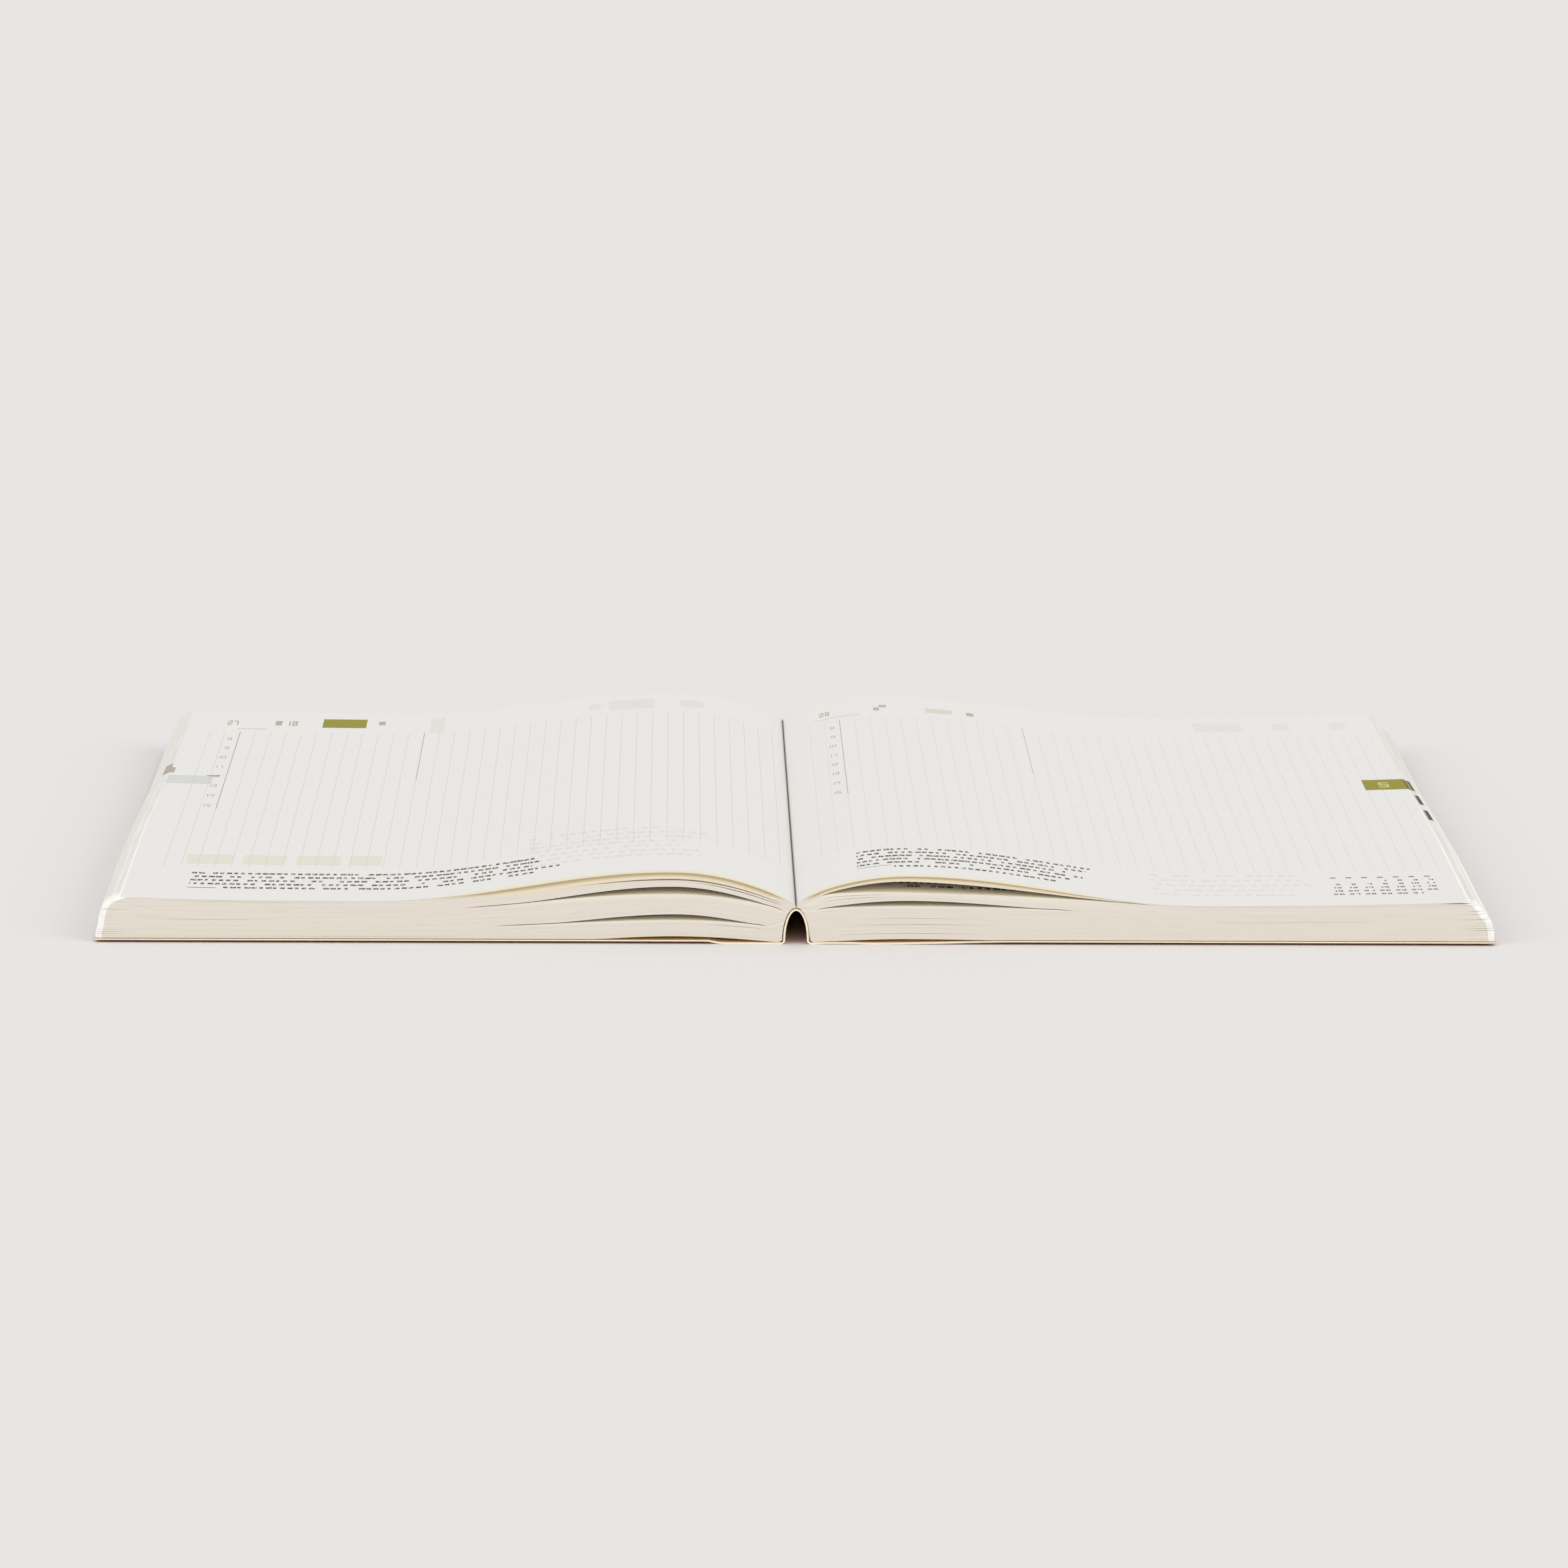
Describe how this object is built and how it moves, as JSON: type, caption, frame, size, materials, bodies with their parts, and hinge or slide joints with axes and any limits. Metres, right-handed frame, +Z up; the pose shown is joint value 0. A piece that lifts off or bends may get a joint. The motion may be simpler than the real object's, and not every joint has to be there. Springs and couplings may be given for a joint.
{
  "type": "opened planner",
  "caption": "Soft-covered A5 planner lying open at its middle: two page halves with bowed leaves, a folded card spine and two covers that swing.",
  "frame": {"origin": "on the table under the gutter, midway between foot and head", "axes": "+X towards the back half's fore-edge, +Y towards the head of the pages, +Z up"},
  "size_m": [0.302, 0.21, 0.0161],
  "materials": {
    "card": "matt card",
    "lining": "glued cotton gauze",
    "pages": "matt printed paper"
  },
  "bodies": {
    "back_half": {"back_pages": "pages", "spine_back": "card", "lining_back": "lining"},
    "front_half": {"front_pages": "pages", "spine_front": "card", "lining_front": "lining"},
    "front_cover": {"front_cover": "card"},
    "back_cover": {"back_cover": "card"}
  },
  "joints": [
    {"name": "planner_close", "type": "hinge", "parent": "back_half", "child": "front_half", "pos_m": [0, 0, 0.009], "axis": [0, 1, 0], "range_deg": [0, 179.5], "deforming": ["front_pages", "back_pages"]},
    {"name": "front_cover_open", "type": "hinge", "parent": "front_half", "child": "front_cover", "pos_m": [-0.00355, 0, 0.0002], "axis": [0, -1, 0], "range_deg": [0, 90]},
    {"name": "back_cover_open", "type": "hinge", "parent": "back_half", "child": "back_cover", "pos_m": [0.00355, 0, 0.0002], "axis": [0, 1, 0], "range_deg": [0, 90]}
  ]
}
